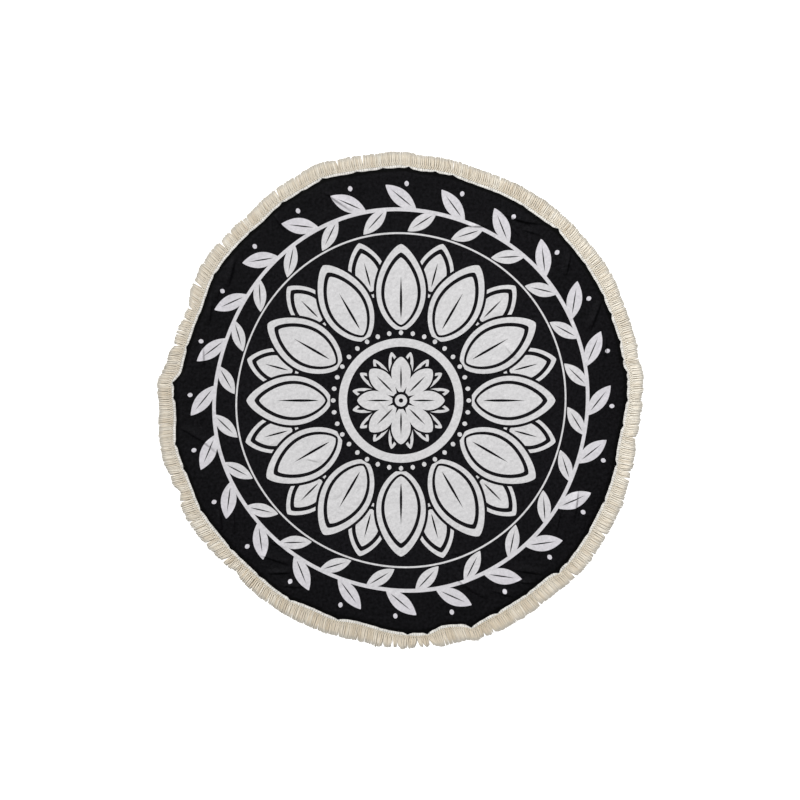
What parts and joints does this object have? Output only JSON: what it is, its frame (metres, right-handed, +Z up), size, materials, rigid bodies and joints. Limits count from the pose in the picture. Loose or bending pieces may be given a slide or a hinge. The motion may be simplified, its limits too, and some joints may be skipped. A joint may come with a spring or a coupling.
{
  "type": "round beach towel",
  "caption": "Large round cotton beach towel laid out flat, with a heading tape and a thick yarn fringe all round its edge.",
  "frame": {"origin": "on the surface that the towel lies on, at the middle of the outline's box", "axes": "+Z up out of the printed face; +Y towards the top of the picture, +X to its right"},
  "size_m": [1.4936, 1.5252, 0.0066],
  "materials": {
    "printed_cloth": "matt plain-weave cotton, black ground with a grey-white print",
    "heading_tape": "matt ivory woven tape",
    "fringe_yarn": "soft cream twisted cotton yarn"
  },
  "bodies": {
    "root": {"cloth": "printed_cloth", "heading_tape": "heading_tape", "fringe": "fringe_yarn"}
  },
  "joints": []
}
